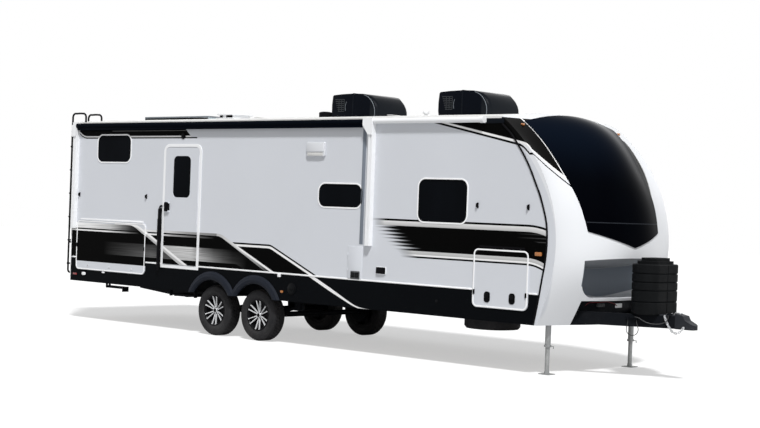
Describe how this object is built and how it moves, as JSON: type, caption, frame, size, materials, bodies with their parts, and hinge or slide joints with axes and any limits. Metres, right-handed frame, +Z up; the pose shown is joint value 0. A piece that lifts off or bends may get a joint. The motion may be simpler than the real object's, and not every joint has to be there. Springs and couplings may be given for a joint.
{
  "type": "travel trailer",
  "caption": "Long two-axle travel trailer with hollow cabin, opening doors, slide-out room, turning wheels, drop legs and a ball coupler.",
  "frame": {"origin": "on the ground, midway along the trailer and on its centre line", "axes": "+X forward towards the coupler, -Y the door side, +Z up"},
  "size_m": [10.7434, 2.564, 3.51],
  "materials": {
    "wall_white": "smooth glossy laminate",
    "roof_white": "matt roof membrane",
    "cap_white": "glossy moulded cap",
    "skirt_black": "satin black metal skirt",
    "dark_glass": "dark tinted glass",
    "door_white": "smooth white door skin",
    "frame_white": "white coated aluminium",
    "frame_black": "black chassis paint",
    "floor_deck": "floor deck",
    "tyre_rubber": "black tyre rubber",
    "rim_metal": "black and machined wheel",
    "leg_steel": "zinc plated steel",
    "cover_black": "textured black moulding",
    "cooler_black": "black moulded shroud",
    "awning_black": "rolled black awning",
    "ladder_black": "black tube",
    "lamp_red": "red lamp lens",
    "lead_black": "black cable jacket",
    "liner_grey": "locker liner"
  },
  "bodies": {
    "trailer": {"main_rails": "frame_black", "crossmembers": "frame_black", "draw_bar_curb": "frame_black", "draw_bar_off": "frame_black", "coupler": "frame_black", "floor": "floor_deck", "curb_wall": "wall_white", "off_wall": "wall_white", "curb_skirt": "skirt_black", "off_skirt": "skirt_black", "rear_wall": "wall_white", "roof": "roof_white", "front_cap": "cap_white", "front_glass": "dark_glass", "valance": "frame_black", "window_glass": "dark_glass", "window_rims": "frame_white", "entry_frame": "frame_white", "lockers": "liner_grey", "wheel_flares": "skirt_black", "axles": "frame_black", "springs": "frame_black", "leg_housings": "leg_steel", "brackets": "frame_black", "propane_cover": "cover_black", "spare_wheel": "tyre_rubber", "cooler_rear": "cooler_black", "cooler_front": "cooler_black", "roof_panel": "cooler_black", "roof_vent": "roof_white", "awning_roll": "awning_black", "awning_arms": "frame_white", "ladder": "ladder_black", "tail_lamps": "lamp_red", "wall_fittings": "frame_white", "safety_chain": "leg_steel", "brake_lead": "lead_black", "power_lead": "lead_black"},
    "wheel_rear_curb": {"tyre_rear_curb": "tyre_rubber", "rim_rear_curb": "rim_metal"},
    "wheel_front_curb": {"tyre_front_curb": "tyre_rubber", "rim_front_curb": "rim_metal"},
    "wheel_rear_off": {"tyre_rear_off": "tyre_rubber", "rim_rear_off": "rim_metal"},
    "wheel_front_off": {"tyre_front_off": "tyre_rubber", "rim_front_off": "rim_metal"},
    "entry_door": {"entry_door": "door_white", "entry_glass": "dark_glass"},
    "store_door": {"store_door": "door_white"},
    "baggage_door": {"baggage_door": "door_white"},
    "far_baggage_door": {"far_baggage_door": "door_white"},
    "slide_room": {"slide_room": "wall_white", "room_glass": "dark_glass"},
    "leg_curb": {"leg_curb": "leg_steel"},
    "leg_off": {"leg_off": "leg_steel"},
    "stabilizer_curb": {"stabilizer_curb": "frame_black"},
    "stabilizer_off": {"stabilizer_off": "frame_black"},
    "entry_step": {"entry_step": "frame_black"}
  },
  "joints": [
    {"name": "wheel_rear_curb_spin", "type": "hinge", "parent": "trailer", "child": "wheel_rear_curb", "pos_m": [-1.88225, -1.055, 0.3595], "axis": [0, 1, 0], "continuous": true},
    {"name": "wheel_front_curb_spin", "type": "hinge", "parent": "trailer", "child": "wheel_front_curb", "pos_m": [-0.96325, -1.055, 0.3595], "axis": [0, 1, 0], "continuous": true},
    {"name": "wheel_rear_off_spin", "type": "hinge", "parent": "trailer", "child": "wheel_rear_off", "pos_m": [-1.88225, 1.055, 0.3595], "axis": [0, 1, 0], "continuous": true},
    {"name": "wheel_front_off_spin", "type": "hinge", "parent": "trailer", "child": "wheel_front_off", "pos_m": [-0.96325, 1.055, 0.3595], "axis": [0, 1, 0], "continuous": true},
    {"name": "entry_door_hinge", "type": "hinge", "parent": "trailer", "child": "entry_door", "pos_m": [-2.23225, -1.2373, 1.8], "axis": [0, 0, 1], "range_deg": [0, 165]},
    {"name": "store_door_hinge", "type": "hinge", "parent": "trailer", "child": "store_door", "pos_m": [-4.25925, -1.2363, 1.56], "axis": [-1, 0, 0], "range_deg": [0, 165]},
    {"name": "baggage_door_hinge", "type": "hinge", "parent": "trailer", "child": "baggage_door", "pos_m": [3.37575, -1.2363, 1.483], "axis": [-1, 0, 0], "range_deg": [0, 165]},
    {"name": "far_baggage_door_hinge", "type": "hinge", "parent": "trailer", "child": "far_baggage_door", "pos_m": [3.37575, 1.2363, 1.483], "axis": [1, 0, 0], "range_deg": [0, 165]},
    {"name": "slide_room_slide", "type": "slide", "parent": "trailer", "child": "slide_room", "axis": [0, 1, 0], "range_m": [0, 0.78]},
    {"name": "leg_curb_slide", "type": "slide", "parent": "trailer", "child": "leg_curb", "axis": [0, 0, 1], "range_m": [0, 0.2]},
    {"name": "leg_off_slide", "type": "slide", "parent": "trailer", "child": "leg_off", "axis": [0, 0, 1], "range_m": [0, 0.2]},
    {"name": "stabilizer_curb_fold", "type": "hinge", "parent": "trailer", "child": "stabilizer_curb", "pos_m": [-4.82925, -0.8, 0.52], "axis": [0, 1, 0], "range_deg": [0, 75]},
    {"name": "stabilizer_off_fold", "type": "hinge", "parent": "trailer", "child": "stabilizer_off", "pos_m": [-4.82925, 0.8, 0.52], "axis": [0, 1, 0], "range_deg": [0, 75]},
    {"name": "entry_step_fold", "type": "hinge", "parent": "trailer", "child": "entry_step", "pos_m": [-2.62925, -1.11, 0.53], "axis": [-1, 0, 0], "range_deg": [0, 180]}
  ]
}
